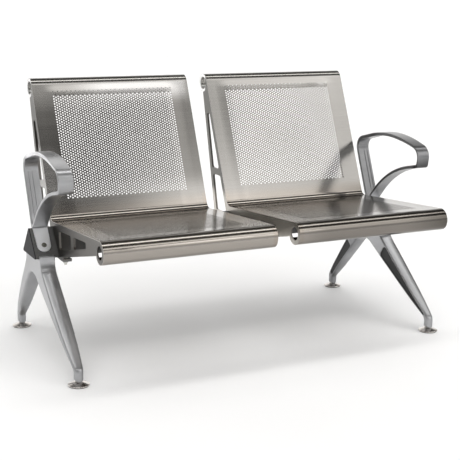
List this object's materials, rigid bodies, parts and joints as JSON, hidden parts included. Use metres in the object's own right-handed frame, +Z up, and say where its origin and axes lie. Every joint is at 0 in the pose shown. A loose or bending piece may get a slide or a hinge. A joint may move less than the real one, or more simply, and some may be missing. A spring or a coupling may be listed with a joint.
{
  "type": "beam seating",
  "caption": "Beam seating for a waiting area: perforated bent-steel seats on a triangular beam, with cast legs, arm loops and levelling feet.",
  "frame": {"origin": "on the floor, at the middle of the bench in width and in depth", "axes": "+X along the beam, to the right as seen from the front; +Y to the rear; +Z up"},
  "size_m": [1.22, 0.7262, 0.7843],
  "materials": {
    "seat_steel": "brushed",
    "bracket_steel": "satin",
    "beam_paint": "satin grey paint",
    "black_plastic": "moulded",
    "cast_aluminium": "polished",
    "chrome_foot": "plated",
    "clamp_steel": "satin grey paint",
    "screw_steel": "plain",
    "zinc_fasteners": "zinc plated"
  },
  "bodies": {
    "bench": {"arm_nut_plates": "zinc_fasteners", "arm_screws": "screw_steel", "beam": "beam_paint", "clamp_bolts": "zinc_fasteners", "clamp_nuts": "zinc_fasteners", "clamp_washers": "zinc_fasteners", "glide_inserts": "zinc_fasteners", "left_arm": "cast_aluminium", "left_beam_cap": "black_plastic", "left_leg": "cast_aluminium", "left_leg_nut_plate": "zinc_fasteners", "left_seat_inner_bracket": "bracket_steel", "left_seat_inner_clamp": "clamp_steel", "left_seat_outer_bracket": "bracket_steel", "left_seat_outer_clamp": "clamp_steel", "left_seat_sheet": "seat_steel", "leg_bolts": "zinc_fasteners", "right_arm": "cast_aluminium", "right_beam_cap": "black_plastic", "right_leg": "cast_aluminium", "right_leg_nut_plate": "zinc_fasteners", "right_seat_inner_bracket": "bracket_steel", "right_seat_inner_clamp": "clamp_steel", "right_seat_outer_bracket": "bracket_steel", "right_seat_outer_clamp": "clamp_steel", "right_seat_sheet": "seat_steel"},
    "left_front_stem": {"left_front_glide_stem": "zinc_fasteners"},
    "left_front_foot": {"left_front_glide_pad": "chrome_foot", "left_front_glide_sole": "black_plastic"},
    "left_rear_stem": {"left_rear_glide_stem": "zinc_fasteners"},
    "left_rear_foot": {"left_rear_glide_pad": "chrome_foot", "left_rear_glide_sole": "black_plastic"},
    "right_front_stem": {"right_front_glide_stem": "zinc_fasteners"},
    "right_front_foot": {"right_front_glide_pad": "chrome_foot", "right_front_glide_sole": "black_plastic"},
    "right_rear_stem": {"right_rear_glide_stem": "zinc_fasteners"},
    "right_rear_foot": {"right_rear_glide_pad": "chrome_foot", "right_rear_glide_sole": "black_plastic"}
  },
  "joints": [
    {"name": "left_front_glide_height", "type": "slide", "parent": "bench", "child": "left_front_stem", "axis": [0, 0, -1], "range_m": [0, 0.015]},
    {"name": "left_front_glide_turn", "type": "hinge", "parent": "left_front_stem", "child": "left_front_foot", "pos_m": [-0.577, -0.24691, 0.006], "axis": [0, 0, -1], "range_deg": [0, 3600]},
    {"name": "left_rear_glide_height", "type": "slide", "parent": "bench", "child": "left_rear_stem", "axis": [0, 0, -1], "range_m": [0, 0.015]},
    {"name": "left_rear_glide_turn", "type": "hinge", "parent": "left_rear_stem", "child": "left_rear_foot", "pos_m": [-0.577, 0.33309, 0.006], "axis": [0, 0, -1], "range_deg": [0, 3600]},
    {"name": "right_front_glide_height", "type": "slide", "parent": "bench", "child": "right_front_stem", "axis": [0, 0, -1], "range_m": [0, 0.015]},
    {"name": "right_front_glide_turn", "type": "hinge", "parent": "right_front_stem", "child": "right_front_foot", "pos_m": [0.577, -0.24691, 0.006], "axis": [0, 0, -1], "range_deg": [0, 3600]},
    {"name": "right_rear_glide_height", "type": "slide", "parent": "bench", "child": "right_rear_stem", "axis": [0, 0, -1], "range_m": [0, 0.015]},
    {"name": "right_rear_glide_turn", "type": "hinge", "parent": "right_rear_stem", "child": "right_rear_foot", "pos_m": [0.577, 0.33309, 0.006], "axis": [0, 0, -1], "range_deg": [0, 3600]}
  ],
  "couplings": [
    {"joint": "left_front_glide_height", "follows": "left_front_glide_turn", "m_per_rad": 0.00023873},
    {"joint": "left_rear_glide_height", "follows": "left_rear_glide_turn", "m_per_rad": 0.00023873},
    {"joint": "right_front_glide_height", "follows": "right_front_glide_turn", "m_per_rad": 0.00023873},
    {"joint": "right_rear_glide_height", "follows": "right_rear_glide_turn", "m_per_rad": 0.00023873}
  ]
}
